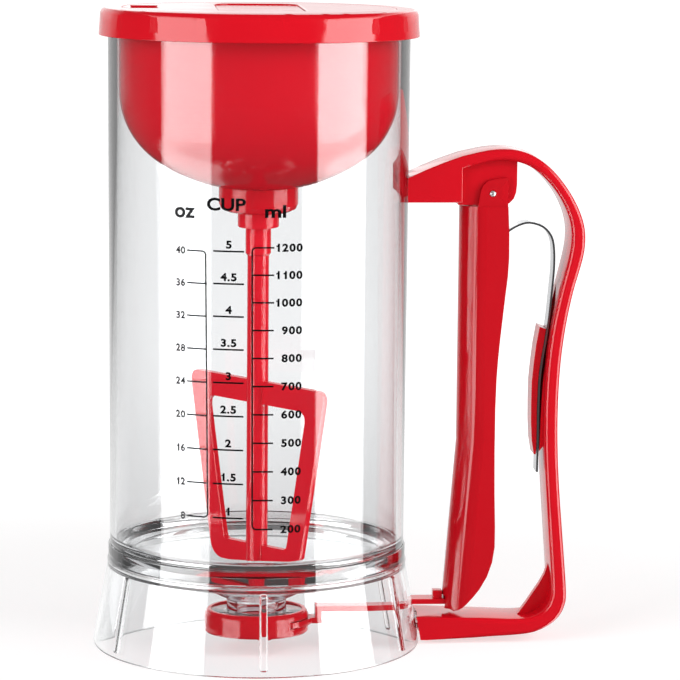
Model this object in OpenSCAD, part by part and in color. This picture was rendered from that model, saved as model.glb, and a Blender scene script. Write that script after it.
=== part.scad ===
// Batter mixer and dispenser: clear measuring tube on a flared base, lift-off
// battery motor unit with a paddle, side handle with a squeeze lever that pulls
// a sliding gate under the funnel. Millimetres, +Z up, origin at the table
// under the tube axis, handle along +X.

/* [Vessel] */
// outer radius of the tube at its rim
tube_r = 57.5; // [57:0.5:60]
// wall of the tube
tube_wall = 2.3; // [2:0.1:2.8]
// radius lost from rim to foot
tube_draft = 0.6; // [0.2:0.1:1]
// height of the rim above the table
rim_z = 237; // [228:1:250]
// height where the line of the funnel floor meets the wall
floor_z = 40.5; // [39.5:0.5:43]
// rounding between wall and floor
floor_round = 4.5; // [3:0.5:6]
// bore radius of the outlet
outlet_r = 7.5; // [6:0.25:8]

/* [Base] */
// height of the seam between tube and base
seam_z = 39.2; // [38:0.2:40]
// height of the collar's lower edge
collar_z = 31; // [30:0.5:32]
// how far the skirt flares out beyond the tube
flare = 6; // [4:0.5:7]
// wall of the skirt
skirt_wall = 2.4; // [2:0.1:2.8]
// number of ribs on the skirt
rib_count = 6; // [6:6:12]
// width of one rib
rib_w = 3; // [2:0.5:4]

/* [Gate] */
// outer radius of the valve cap
cap_r = 20; // [19.5:0.5:22]
// thickness of the gate plate
gate_t = 2.1; // [1.8:0.1:2.3]
// width of the gate bar
bar_w = 8; // [6:0.5:9]
// how far the gate slides open
gate_stroke = 19.3; // [17:0.1:20]

/* [Handle] */
// outermost reach of the grip from the tube axis
reach = 125; // [123:0.5:128]
// height of the handle's top
handle_top = 192.7; // [188:0.5:197]
// width of the handle
handle_w = 22; // [21:0.5:24]
// radius of the lever pin
pin_r = 1.2; // [1:0.1:1.5]
// wall of the lever
lever_wall = 2.2; // [1.8:0.1:2.4]
// width of the spring strip
strip_w = 8.5; // [8:0.5:12.5]
// thickness of the spring strip
strip_t = 0.8; // [0.5:0.1:0.9]

/* [Motor unit] */
// how far the lid band stands out from the tube
band_out = 3.5; // [3:0.25:5]
// height of the lid band
band_h = 10.55; // [10:0.25:12]
// gap between the housing and the tube's inside
housing_gap = 1.15; // [0.9:0.05:1.6]
// wall of the housing
housing_wall = 2.3; // [2:0.1:2.5]
// length of the power button
button_l = 72; // [60:1:73]
// width of the power button
button_w = 32; // [26:1:33]
// diameter of one battery cell
cell_d = 14.2; // [13.8:0.1:14.3]
// radius of the motor can
motor_r = 12; // [10:0.5:12.5]
// radius of the output shaft
shaft_r = 2.5; // [2:0.1:3]

/* [Paddle] */
// radius of the paddle's stem
stem_r = 4.2; // [3:0.1:4.4]
// half width of the blade at its top
blade_top = 36.3; // [32:0.5:40]
// half width of the blade at its foot
blade_foot = 23.3; // [20:0.5:26]
// thickness of the blade
blade_t = 2.6; // [2:0.1:3.4]
// height of the blade's top edge
blade_top_z = 101.2; // [90:1:110]
// height of the blade's bottom edge
blade_foot_z = 30.6; // [30:0.2:33]
// angle of the blade about the axis
blade_turn = -47; // [-90:1:90]

/* [Hidden] */
$fn = 96;
free_gap = 0.3;
seat_gap = 0.1;
bore_gap = 0.05;

clear = [0.9, 0.94, 0.96, 0.35];
red = [0.86, 0.09, 0.15];
steel = [0.75, 0.76, 0.78];
dark = [0.12, 0.12, 0.13];
brass = [0.8, 0.65, 0.3];
silicone = [0.85, 0.86, 0.88];

// tube radii, outside and inside, at any height
foot_r = tube_r - tube_draft;
in_top = tube_r - tube_wall;
in_foot = foot_r - tube_wall;
function tube_out(z) = foot_r + tube_draft * (z - seam_z) / (rim_z - seam_z);
function tube_in(z) = tube_out(z) - tube_wall;

// funnel floor and outlet
throat_z = 20;
funnel_slope = (floor_z - throat_z) / (in_foot - outlet_r);
funnel_t = 2.7;
function funnel_z(r) = throat_z + funnel_slope * (r - outlet_r);
funnel_a = atan(funnel_slope);
round_c = [in_foot - floor_round, floor_z + floor_round * (1 - sin(funnel_a)) / cos(funnel_a)];
flange_z = 13.2;
flange_t = 1.6;
flange_r = cap_r - 1.8;
neck_r = outlet_r + 4;
seal_in = outlet_r + 1.3;
seal_out = outlet_r + 4.7;
seal_groove = 1;
spigot_r = foot_r - 1.5;
spigot_wall = 2.3;
spigot_z = collar_z + 2.2;

// skirt
collar_r = foot_r + 0.6;
skirt_top_r = collar_r + 0.4;
base_r = tube_r + flare;
function skirt_out(z) = base_r - (base_r - skirt_top_r) * z / collar_z;
pad_out = 1;

// gate levels
gate_top = flange_z - 1.1;
gate_z = gate_top - gate_t;
cap_floor = gate_z - 0.2;
bar_z = 14.3;
bar_t = 2;
plate_half = cap_r - 5;
plate_back = outlet_r + 2.5;

// handle frame: parts beyond the bracket move with the reach
dx = reach - 125;
dz = handle_top - 192.7;
function at(p) = [p[0] + dx, p[1] + (p[1] > 95 ? dz : 0)];
function spread(list) = [for (p = list) at(p)];

pin_x = 89.1 + dx;
pin_z = 175.5 + dz;
lever_half = handle_w / 2 - 1.2;
lever_in = lever_half - lever_wall;
lug_half = lever_in - 0.6;
ear_t = lever_wall - 0.7;
web_half = 1.6;
lever_front = 77.2 + dx;
lever_foot_x = 72.75 + dx;
tab_z0 = bar_z + bar_t;
tab_top = tab_z0 + 3;
notch_z = bar_z + bar_t + 1.3;
push_z = (notch_z + tab_top) / 2;
lever_arm = pin_z - push_z;
squeeze = asin(gate_stroke / lever_arm);

strip_pivot = [108.7 + dx, 76];
strip_path = spread([
  [108.6, 66.6], [108.65, 72], [108.7, 80], [108.7, 92], [109.0, 103], [109.9, 111],
  [111.1, 118.6], [112.2, 127], [113.1, 137], [113.8, 146], [113.7, 153.5], [112.6, 158.6],
  [109.3, 162.3], [104.1, 163.9], [99.8, 162.9], [96.2, 160.8], [93.4, 158.6], [91.5, 156.2]
]);
tip = strip_path[len(strip_path) - 1];
strip_turn = squeeze * (pin_z - tip[1]) / (tip[1] - strip_pivot[1]);

outer_path = spread([
  [77.1, 190], [87.1, 192.2], [94.9, 192.6], [101.2, 191.5], [106.8, 188.8], [112.3, 184.3],
  [117.7, 177.7], [121.9, 170.5], [124.4, 163.6], [125, 157], [124, 149.9], [120.7, 137.7],
  [118.1, 124.5], [116.4, 110.3], [115.7, 95.3], [115.8, 78.8], [116.8, 60.3], [118.9, 36.1],
  [120.2, 19.9], [119.5, 14.3], [117.2, 10], [113.3, 6.6], [107.9, 4.2], [101.2, 3.2],
  [91.2, 2.6], [84.1, 2.1]
]);
inner_path = spread([
  [77.1, 185.3], [87.2, 187.8], [94, 188.3], [99.5, 187.4], [104.4, 185.2], [109.3, 181.2],
  [113.9, 175.7], [117.3, 169.6], [119.2, 163.6], [119.6, 157.5], [118.5, 150], [114.7, 134],
  [112.4, 121.5], [111, 108.6], [110.4, 94.6], [110.5, 79.4], [111.5, 61.5], [113.4, 36.9],
  [114.4, 22.1], [113.9, 17.1], [112, 13.5], [108.6, 11], [104.2, 9.7], [98.4, 9.5],
  [89.8, 9.9], [83.8, 10.1]
]);
web_outline = spread([
  [116, 33.5], [114.3, 33.5], [113.9, 29.8], [112.6, 25.5], [110.5, 21.6], [108, 17.9],
  [105.6, 14.2], [102.8, 10.4], [101, 8.5], [101.4, 6], [112, 7], [117, 12], [118, 22]
]);

lever_outline = spread([
  [60, 170.5], [60, 11], [75, 12.9], [76.6, 12.3], [78.6, 13.1], [80.9, 15], [83.8, 18.2],
  [86.3, 21.4], [89.1, 26.4], [91, 32], [91.9, 38], [91.9, 46], [91.5, 60], [91.3, 76],
  [91.3, 92], [91.6, 104], [92.1, 112], [92.8, 120], [93.6, 128], [94.5, 136.5], [95.3, 143.5],
  [95.7, 151], [95.6, 160], [95.1, 170.5]
]);
lever_room = spread([
  [60, 180], [60, 17], [74.6, 17], [76.6, 14.8], [79.6, 16.9], [82.4, 19.8], [84.7, 22.9],
  [87.3, 27.6], [88.9, 32.6], [89.8, 38.5], [99, 41], [99, 180]
]);
ear = spread([
  [84, 166], [83.3, 169.4], [84.5, 176.4], [85.4, 178.6], [87.2, 180.3], [89.6, 181],
  [94.5, 181.6], [95, 181], [95.1, 166]
]);
lug = spread([
  [76, 171], [93.6, 171], [95.8, 171.7], [97.4, 173.4], [98.3, 175.8], [98.6, 179], [98.6, 189],
  [76, 189]
]);
loop_outline = spread([
  [108.6, 123.6], [107.3, 116], [106.5, 109], [105.9, 102], [105.8, 94], [105.9, 86],
  [106.3, 79], [107.2, 73.6], [108.4, 73.6], [110.9, 77], [111.2, 82], [112.1, 112], [113.2, 122]
]);

// motor unit heights hang from the rim
band_z = rim_z - 2.15;
lid_top = band_z + band_h;
lid_r = tube_r + band_out;
cover_r = in_top - 3.2;
shelf_top = lid_top - 2.7;
shelf_z = shelf_top - 1.8;
house_r = in_top - housing_gap;
house_in = house_r - housing_wall;
flange_top = rim_z + 2.3;
corner_r = 34.8;
corner_a = 56;
corner_c = [house_r - corner_r, rim_z - 23.7];
belly_r = 62;
belly_c = corner_c + (belly_r - corner_r) * [-cos(corner_a), sin(corner_a)];
boss_r = 15.35;
boss_z = rim_z - 71.5;
sleeve_r = 8;
bush_r = shaft_r + 2.5;
bush_top = rim_z - 59;
seal_z = boss_z + 2.7;
post_r = 3.2;
post_at = house_in - post_r + 0.2;
shelf_in = post_at - 4.5;
tray_z = rim_z - 17.9;
tray_floor = tray_z + 1.9;
plate_z = rim_z - 50;
plate_t = 2;
gear_z = rim_z - 55.5;
gear_h = 4;
plate_edge = 4;
// clearance from the plate to the bowl's inside, at the plate's foot
plate_play = 4.36;
function bowl_in(z) = belly_c[0] + sqrt(pow(belly_r - housing_wall, 2) - pow(z - belly_c[1], 2));
post2_at = bowl_in(plate_z) - plate_play - plate_edge;

// gears
module_mm = 0.72;
pinion_teeth = 10;
gear_teeth = 40;
centre_gap = module_mm * (pinion_teeth + gear_teeth) / 2;

// coupling and paddle
couple_top = boss_z - 0.4;
couple_z = boss_z - 6.2;
couple_r = 8;
hub_r = 4.95;
hub_l = 10.7;
shaft_end = couple_z + 3.3;
hex_r = 3.9;

// screws
screw_r = 1.45;
screw_head = 2.8;
screw_l = 5.7;

// battery cells
cell_l = 49.2;
cell_x = [-28.9, -13.9, 13.9, 28.9];
cell_z = tray_floor + cell_d / 2 + 0.1;
tray_end = 28;

// points of a smooth curve through the given points
function mix3(a, b, c, d, t) =
  0.5 * ((2 * b) + (c - a) * t + (2 * a - 5 * b + 4 * c - d) * t * t
  + (3 * b - a - 3 * c + d) * t * t * t);
function smooth(p, n) = [
  for (i = [0 : len(p) - 2])
  for (k = [0 : n - 1])
  mix3(p[max(i - 1, 0)], p[i], p[i + 1], p[min(i + 2, len(p) - 1)], k / n),
  p[len(p) - 1]
];
function reversed(p) = [for (i = [len(p) - 1 : -1 : 0]) p[i]];
function unit(v) = v / norm(v);
function side(p, i) =
  let (a = p[max(i - 1, 0)], b = p[min(i + 1, len(p) - 1)], t = unit(b - a)) [-t[1], t[0]];
function shifted(p, d) = [for (i = [0 : len(p) - 1]) p[i] + side(p, i) * d];
function arc(c, r, a, b, n) =
  [for (i = [0 : n]) c + r * [cos(a + (b - a) * i / n), sin(a + (b - a) * i / n)]];

// a flat outline in X and Z, given its width along Y
module y_slab(w) {
  rotate([90, 0, 0])
    translate([0, 0, -w / 2])
      linear_extrude(w) children();
}

module ring(r1, r2, h) {
  rotate_extrude() translate([r1, 0]) square([r2 - r1, h]);
}

module box(x0, x1, y, z0, z1) {
  translate([x0, -y, z0]) cube([x1 - x0, 2 * y, z1 - z0]);
}

module rounded_slab(x, y, h, r) {
  translate([-x / 2 + r, -y / 2, 0]) cube([x - 2 * r, y, h]);
  translate([-x / 2, -y / 2 + r, 0]) cube([x, y - 2 * r, h]);
  for (i = [-1, 1])
    for (j = [-1, 1])
      translate([i * (x / 2 - r), j * (y / 2 - r), 0]) cylinder(r = r, h = h);
}

module pan_screw(head_h, l) {
  difference() {
    union() {
      cylinder(r = screw_head, h = head_h);
      translate([0, 0, head_h - 0.01]) cylinder(r = screw_r, h = l);
    }
    translate([-1.6, -0.3, -0.1]) cube([3.2, 0.6, 0.9]);
    translate([-0.3, -1.6, -0.1]) cube([0.6, 3.2, 0.9]);
  }
}

// ---------------------------------------------------------------- vessel
upper_seat_z = 175.9 + dz;
tongue_h = 4.2;
seat_x = tube_r + 7;
module vessel() {
  color(clear) difference() {
    union() {
      rotate_extrude() polygon(concat([
        [outlet_r, flange_z], [outlet_r, throat_z]],
        arc(round_c, floor_round, funnel_a - 90, 0, 6), [
        [in_top, rim_z], [tube_r, rim_z], [foot_r, seam_z + seat_gap],
        [spigot_r, seam_z + seat_gap], [spigot_r, spigot_z],
        [spigot_r - spigot_wall, spigot_z],
        [spigot_r - spigot_wall, funnel_z(spigot_r - spigot_wall) - funnel_t],
        [neck_r, funnel_z(neck_r) - funnel_t], [neck_r, flange_z + flange_t],
        [flange_r, flange_z + flange_t], [flange_r, flange_z],
        [seal_out + seat_gap, flange_z], [seal_out + seat_gap, flange_z + seal_groove],
        [seal_in - seat_gap, flange_z + seal_groove], [seal_in - seat_gap, flange_z]
      ]));
      box(tube_in(upper_seat_z) + 0.5, seat_x + 3.8, 6, upper_seat_z, upper_seat_z + tongue_h);
    }
    translate([seat_x, 0, upper_seat_z - 0.1]) cylinder(r = screw_r + bore_gap, h = 6);
  }
}

module outlet_seal() {
  color(silicone) translate([0, 0, gate_top + free_gap])
    ring(seal_in, seal_out, flange_z + seal_groove - gate_top - free_gap - bore_gap);
}

// ------------------------------------------------------------------ base
arm_z = 1.7;
lower_seat_z = 5.35;
lower_x = base_r + 4.5;
module skirt_shell(extra, z0, z1) {
  rotate_extrude() polygon([
    [skirt_out(z0) - 1, z0], [skirt_out(z0) + extra, z0],
    [skirt_out(z1) + extra, z1], [skirt_out(z1) - 1, z1]
  ]);
}
module base() {
  color(clear) difference() {
    union() {
      rotate_extrude() polygon([
        [spigot_r - spigot_wall, collar_z], [spigot_r - spigot_wall, spigot_z - bore_gap],
        [spigot_r + seat_gap, spigot_z - bore_gap], [spigot_r + seat_gap, seam_z],
        [collar_r, seam_z], [collar_r, spigot_z], [skirt_top_r, spigot_z],
        [skirt_top_r, collar_z], [base_r, 0], [base_r - skirt_wall, 0],
        [skirt_top_r - skirt_wall, collar_z]
      ]);
      intersection() {
        skirt_shell(1.1, 3, collar_z);
        for (i = [0 : rib_count - 1])
          rotate([0, 0, -90 + i * 360 / rib_count])
            translate([40, -rib_w / 2, 0]) cube([40, rib_w, 40]);
      }
      intersection() {
        skirt_shell(pad_out, 1.5, 12.9);
        box(40, 80, handle_w / 2 - 0.4, 0, 20);
      }
      box(skirt_out(7) - 1.2, lower_x + 4.5, 6, lower_seat_z, lower_seat_z + tongue_h);
    }
    box(45, 80, bar_w / 2 + 0.4, bar_z - free_gap, bar_z + bar_t + free_gap);
    translate([lower_x, 0, lower_seat_z - 0.1]) cylinder(r = screw_r + bore_gap, h = 4.05);
  }
}

// ------------------------------------------------------------------ gate
module valve_cap() {
  color(red) difference() {
    rotate_extrude() polygon([
      [outlet_r + 0.1, 6], [outlet_r + 2.1, 6], [outlet_r + 2.1, cap_floor - 1.9],
      [cap_r - 3, cap_floor - 1.9], [cap_r - 3, 6.9], [cap_r - 0.6, 6.9], [cap_r, 7.5],
      [cap_r, 13.2], [cap_r - 0.4, 14.4], [cap_r - 1.2, 15.2],
      [flange_r - 0.6, 15.2], [flange_r - 0.6, flange_z + flange_t + seat_gap],
      [flange_r + seat_gap, flange_z + flange_t + seat_gap],
      [flange_r + seat_gap, cap_floor], [outlet_r + 0.1, cap_floor]
    ]);
    box(cap_r * 0.4, cap_r + 2, plate_half + 0.8, cap_floor + 0.01, gate_top + 0.45);
  }
}

module gate_slider() {
  color(red) {
    intersection() {
      translate([0, 0, gate_z]) cylinder(r = flange_r - 0.4, h = gate_t);
      box(-plate_back, 30, plate_half, 0, 20);
    }
    intersection() {
      translate([cap_r * 0.18, 0, gate_z]) cylinder(r = flange_r - 0.4, h = gate_t);
      box(-2, 30, plate_half, 0, 20);
    }
    box(cap_r - 5, cap_r + 5, bar_w / 2, gate_z, gate_top);
    box(cap_r + 2.6, cap_r + 5, bar_w / 2, gate_z, bar_z + bar_t);
    box(cap_r + 2.6, lever_foot_x + 6.2, bar_w / 2, bar_z, bar_z + bar_t);
    box(lever_foot_x - 3.95, lever_foot_x - 0.35, 2.4, tab_z0 - 0.01, tab_top);
    box(
      lever_foot_x + lever_wall + 0.75, lever_foot_x + lever_wall + 2.75, 1.5,
      tab_z0 - 0.01, tab_top
    );
  }
}

// ---------------------------------------------------------------- handle
module strip_shape(lo, hi) {
  p = smooth(strip_path, 3);
  polygon(concat(shifted(p, lo), reversed(shifted(p, hi))));
}
module strip_room() {
  for (a = [0, 0.5, 1])
    translate([strip_pivot[0], 0, strip_pivot[1]])
      rotate([0, a * (strip_turn + 0.1), 0])
        translate([-strip_pivot[0], 0, -strip_pivot[1]])
          y_slab(strip_w + 0.8) strip_shape(-strip_t / 2 - 0.22, strip_t / 2 + 0.22);
}
module handle() {
  color(red) difference() {
    union() {
      y_slab(handle_w) {
        polygon(concat(smooth(outer_path, 4), reversed(smooth(inner_path, 4))));
        polygon([
          [50, 172.2 + dz], [77.3 + dx, 172.2 + dz], [77.3 + dx, 189 + dz],
          [77.1 + dx, 190 + dz], [70, 187.5 + dz], [63, 184.6 + dz], [50, 178.6 + dz]
        ]);
        polygon([
          [50, arm_z - 0.1], [66, arm_z - 0.1], [84.1 + dx, 2.1], [84.3 + dx, 5],
          [83.8 + dx, 10.1], [50, 11]
        ]);
      }
      y_slab(2 * lug_half) polygon(lug);
      y_slab(2 * web_half) polygon(web_outline);
      // the loop is open on the side from which the strip slides in
      translate([0, (strip_w / 2 + 2.3 - strip_w / 2 - 0.3) / 2, 0])
        y_slab(strip_w + 2.6) polygon(loop_outline);
    }
    // ends hug the tube and the skirt
    translate([0, 0, 150 + dz])
      cylinder(
        r1 = tube_out(150 + dz) + seat_gap, r2 = tube_out(200 + dz) + seat_gap, h = 50
      );
    translate([0, 0, -1])
      cylinder(
        r1 = skirt_out(-1) + pad_out + seat_gap, r2 = skirt_out(14) + pad_out + seat_gap, h = 15
      );
    box(40, seat_x + 3.95, 6.15, upper_seat_z - 0.15, upper_seat_z + tongue_h + 0.15);
    box(40, lower_x + 4.65, 6.15, lower_seat_z - 0.15, lower_seat_z + tongue_h + 0.15);
    translate([seat_x, 0, 170 + dz]) cylinder(r = screw_r + seat_gap, h = 10);
    translate([seat_x, 0, 170 + dz]) cylinder(r = screw_head + 0.2, h = 4.7);
    translate([lower_x, 0, -1]) cylinder(r = screw_r + seat_gap, h = 8);
    translate([lower_x, 0, -1]) cylinder(r = screw_head + 0.2, h = 4.5);
    translate([pin_x, 20, pin_z]) rotate([90, 0, 0]) cylinder(r = pin_r + 0.02, h = 40);
    strip_room();
  }
}

module handle_screws() {
  color(steel) {
    translate([seat_x, 0, 173.1 + dz]) pan_screw(1.6, screw_l - 0.8);
    translate([lower_x, 0, 1.9]) pan_screw(1.6, screw_l - 0.8);
  }
}

// ----------------------------------------------------------------- lever
module lever_core(half, inset) {
  // rounded front, open to the back; the lower part leans and is a touch slimmer
  x0 = lever_front + inset;
  slim = half - 0.12;
  bend_z = 80;
  translate([x0 + half, 0, bend_z]) cylinder(r = half, h = 110 + dz);
  box(x0 + half, x0 + 60, half, bend_z, bend_z + 110 + dz);
  intersection() {
    translate([lever_front, 0, bend_z]) rotate([0, 4.4, 0]) translate([0.1 + inset, 0, -85]) {
      translate([slim, 0, 0]) cylinder(r = slim, h = 95);
      box(slim, 60, slim, 0, 95);
    }
    box(0, 200, 30, 0, bend_z);
  }
}
module lever() {
  color(red) difference() {
    union() {
      difference() {
        intersection() {
          lever_core(lever_half, 0);
          y_slab(40) polygon(lever_outline);
        }
        intersection() {
          lever_core(lever_in, lever_wall);
          y_slab(40) polygon(lever_room);
        }
      }
      for (s = [-1, 1])
        translate([0, s * (lever_in + ear_t / 2), 0]) y_slab(ear_t) polygon(ear);
      box(tip[0] - 3.4, tip[0] - 0.9, lever_in + 0.2, tip[1] - 5, tip[1] + 3);
    }
    box(50, 130, bar_w / 2 + 0.4, 0, notch_z);
    translate([pin_x, 20, pin_z]) rotate([90, 0, 0]) cylinder(r = pin_r + bore_gap, h = 40);
  }
}

module lever_pin() {
  pin_half = lever_in + ear_t + 0.3;
  color(steel) translate([pin_x, pin_half, pin_z])
    rotate([90, 0, 0]) cylinder(r = pin_r, h = 2 * pin_half);
}

module leaf_spring() {
  color(steel) y_slab(strip_w) strip_shape(-strip_t / 2, strip_t / 2);
}

// ------------------------------------------------------------------- lid
module lid_cap() {
  color(red) difference() {
    rotate_extrude() polygon([
      [lid_r, band_z], [lid_r - 0.6, lid_top - 2], [lid_r - 1.1, lid_top - 0.9],
      [lid_r - 2.1, lid_top - 0.25], [lid_r - 4, lid_top], [cover_r + free_gap, lid_top],
      [cover_r + free_gap, shelf_top], [shelf_in, shelf_top], [shelf_in, shelf_z],
      [lid_r - 2.6, shelf_z], [lid_r - 2.2, band_z]
    ]);
    for (a = [60, 180, 300])
      rotate([0, 0, a]) translate([post_at, 0, shelf_z - 1]) {
        cylinder(r = screw_r + seat_gap, h = 5);
        translate([0, 0, 1.7]) cylinder(r = screw_head + 0.2, h = 5);
      }
  }
}

// the bowl's outline from its upright side in to a radius, a wall's depth inside its skin
function bowl(wall, end_r) = concat(
  arc(corner_c, corner_r - wall, 0, -corner_a, 16),
  arc(belly_c, belly_r - wall, -corner_a - 2.5, -acos((end_r - belly_c[0]) / (belly_r - wall)), 12)
);
module housing_solid() {
  rotate_extrude() polygon(concat(
    [[0, shelf_z - seat_gap], [house_r, shelf_z - seat_gap], [house_r, flange_top],
    [tube_r, flange_top], [tube_r, rim_z + free_gap], [house_r, rim_z + free_gap]],
    bowl(0, boss_r),
    [[boss_r, boss_z + 2.6], [boss_r - 0.8, boss_z + 0.9], [boss_r - 2.6, boss_z], [0, boss_z]]
  ));
}
module housing_room() {
  w = housing_wall;
  rotate_extrude() polygon(concat(
    [[0, shelf_z + 1], [house_in, shelf_z + 1]],
    bowl(w, boss_r - 2.4),
    [[boss_r - 2.4, boss_z + 3], [0, boss_z + 3]]
  ));
}
module housing_posts() {
  for (a = [60, 180, 300])
    rotate([0, 0, a]) translate([post_at, 0, rim_z - 45]) cylinder(r = post_r, h = 65);
  for (a = [0, 120, 240])
    rotate([0, 0, a]) translate([post2_at, 0, rim_z - 62])
      cylinder(r = 3, h = plate_z - seat_gap - rim_z + 62);
  for (a = [30 : 60 : 330])
    rotate([0, 0, a]) translate([house_in - 3, -1, rim_z - 40])
      cube([5, 2, tray_z - seat_gap - rim_z + 40]);
  translate([0, 0, boss_z]) cylinder(r = sleeve_r, h = bush_top - boss_z);
}
module motor_housing() {
  color(red) difference() {
    housing_solid();
    difference() {
      housing_room();
      housing_posts();
    }
    translate([0, 0, boss_z - 1]) cylinder(r = bush_r + bore_gap, h = 40);
    translate([0, 0, boss_z - 1]) cylinder(r = bush_r + 1.2, h = 1 + seal_z - boss_z);
    for (a = [60, 180, 300])
      rotate([0, 0, a]) translate([post_at, 0, shelf_z - 8])
        cylinder(r = screw_r + bore_gap, h = 12);
    for (a = [0, 120, 240])
      rotate([0, 0, a]) translate([post2_at, 0, plate_z - 4])
        cylinder(r = screw_r - 0.35 + bore_gap, h = 6);
  }
}

module lid_screws() {
  color(steel) for (a = [60, 180, 300])
    rotate([0, 0, a]) translate([post_at, 0, shelf_z + 1.95]) mirror([0, 0, 1])
      pan_screw(1.2, 6);
}

// --------------------------------------------------------- cover, button
module battery_cover() {
  z0 = shelf_top + free_gap;
  color(red) difference() {
    union() {
      translate([0, 0, z0]) cylinder(r = cover_r, h = lid_top - z0);
      translate([0, 0, z0 - 2.4]) ring(shelf_in - 1.5, shelf_in - free_gap, 2.5);
    }
    translate([0, 0, z0 - 1]) rounded_slab(button_w + 0.6, button_l + 0.6, 6, 8.3);
    box(3 - cover_r + 0.2, 13.2 - cover_r, 13, lid_top - 1.6, lid_top + 1);
  }
}

button_top = lid_top - 0.5;
button_flange = shelf_top - 1.4;
module power_button() {
  color(red) {
    translate([0, 0, button_flange])
      rounded_slab(button_w, button_l, button_top - button_flange, 8);
    translate([0, 0, button_flange]) rounded_slab(button_w + 3, button_l + 3, 1.3, 9.5);
    translate([0, 0, rim_z - 4]) cylinder(r = 2, h = button_flange - rim_z + 4.01);
  }
}

module switch() {
  color(dark) difference() {
    translate([-4.9, -8, tray_floor + bore_gap]) cube([9.8, 16, rim_z - 0.5 - tray_floor]);
    translate([0, 0, rim_z - 6]) cylinder(r = 2 + free_gap, h = 10);
  }
}

// -------------------------------------------------------- battery parts
module battery_tray() {
  color(dark) difference() {
    union() {
      translate([0, 0, tray_z]) cylinder(r = house_in - 0.5, h = tray_floor - tray_z);
      for (s = [-1, 1]) {
        translate([s * 37.4 - 0.8, -tray_end - 1.5, tray_floor - 0.01])
          cube([1.6, 2 * tray_end + 3, 10]);
        translate([s * 6.1 - 0.5, -tray_end - 1.5, tray_floor - 0.01])
          cube([1, 2 * tray_end + 3, 10]);
        translate([s * 21.4 - 0.25, -24, tray_floor - 0.01]) cube([0.5, 48, 6]);
        for (t = [-1, 1])
          translate([s * 21.75 - 16.1, t * (tray_end + 0.75) - 0.75, tray_floor - 0.01])
            cube([32.2, 1.5, 13]);
      }
    }
    for (a = [60, 180, 300])
      rotate([0, 0, a]) translate([post_at, 0, tray_z - 1]) cylinder(r = post_r + 0.4, h = 20);
    for (s = [-1, 1])
      translate([0, s * 4, tray_z - 1]) cylinder(r = 1, h = 5);
  }
}

module batteries() {
  color([0.2, 0.22, 0.25]) for (i = [0 : 3])
    translate([cell_x[i], 0, cell_z]) rotate([i % 2 == 0 ? 90 : -90, 0, 0]) {
      translate([0, 0, -cell_l / 2 - 0.5]) cylinder(r = cell_d / 2, h = cell_l);
      translate([0, 0, cell_l / 2 - 0.51]) cylinder(r = 2.75, h = 1.3);
    }
}

module contact_springs() {
  color(steel) for (i = [0 : 3])
    translate([cell_x[i], 0, cell_z]) rotate([i % 2 == 0 ? 90 : -90, 0, 0])
      for (k = [0 : 2])
        translate([0, 0, -cell_l / 2 - 0.95 - k * 0.66])
          rotate_extrude() translate([2.6 + k * 0.6, 0]) circle(r = 0.36, $fn = 24);
}

module contact_plates() {
  color(steel) for (s = [-1, 1])
    for (t = [-1, 1])
      translate([s * 21.4 - 13, t * (tray_end - 0.3) - 0.2, tray_floor + 2])
        cube([26, 0.4, 10]);
}

// ------------------------------------------------------ motor and gears
motor_z = plate_z + plate_t + seat_gap;
module motor() {
  color(steel) difference() {
    union() {
      translate([-centre_gap, 0, motor_z]) cylinder(r = motor_r, h = 26);
      translate([-centre_gap, 0, plate_z]) cylinder(r = 5, h = plate_t + 0.2);
      translate([-centre_gap, 0, motor_z + 25.9]) cylinder(r = 4, h = 1.6);
      for (s = [-1, 1])
        translate([-centre_gap + 5, s * 4 - 0.3, motor_z + 25.9]) cube([2, 0.6, 2.6]);
    }
    translate([-centre_gap, 0, plate_z - 1]) cylinder(r = 1 + bore_gap, h = 6);
  }
}

module motor_shaft() {
  color(steel) translate([-centre_gap, 0, gear_z - 0.5])
    cylinder(r = 1, h = plate_z + 4.5 - gear_z);
}

// toothed wheel: one outline drawn through the root, pitch and tip circles
module wheel(teeth, h, root_w, pitch_w, tip_w) {
  rp = module_mm * teeth / 2;
  rr = rp - 1.1 * module_mm;
  rt = rp + 0.6 * module_mm;
  p = 180 / teeth;
  flank = [[rr, -root_w], [rp, -pitch_w], [rt, -tip_w], [rt, tip_w], [rp, pitch_w], [rr, root_w]];
  linear_extrude(h) polygon([
    for (i = [0 : teeth - 1], q = flank)
      let (a = i * 360 / teeth + q[1] * p) [q[0] * cos(a), q[0] * sin(a)]
  ]);
}
module motor_pinion() {
  color(brass) translate([-centre_gap, 0, gear_z]) difference() {
    wheel(pinion_teeth, gear_h + 0.4, 0.6, 0.39, 0.14);
    translate([0, 0, -1]) cylinder(r = 1.02, h = gear_h + 3);
  }
}

module output_gear() {
  color([0.9, 0.9, 0.88]) difference() {
    union() {
      translate([0, 0, gear_z]) rotate([0, 0, 180 - 180 / gear_teeth])
        wheel(gear_teeth, gear_h, 0.62, 0.42, 0.24);
      translate([0, 0, bush_top + 1.7]) cylinder(r = shaft_r + 2, h = gear_z - bush_top - 1);
    }
    translate([0, 0, bush_top]) cylinder(r = shaft_r + 0.02, h = 12);
  }
}

module output_shaft() {
  color(steel) translate([0, 0, shaft_end])
    cylinder(r = shaft_r, h = plate_z + plate_t + 1.2 - shaft_end);
}

module output_bush() {
  color(brass) {
    translate([0, 0, seal_z + 0.2]) ring(shaft_r + bore_gap, bush_r, bush_top - seal_z);
    translate([0, 0, bush_top + 0.05]) ring(shaft_r + bore_gap, bush_r + 2, 1.3);
  }
}

module shaft_seal() {
  color(dark) translate([0, 0, boss_z + 0.2])
    ring(shaft_r + 0.08, bush_r + 1.15, seal_z - boss_z - 0.25);
}

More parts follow.
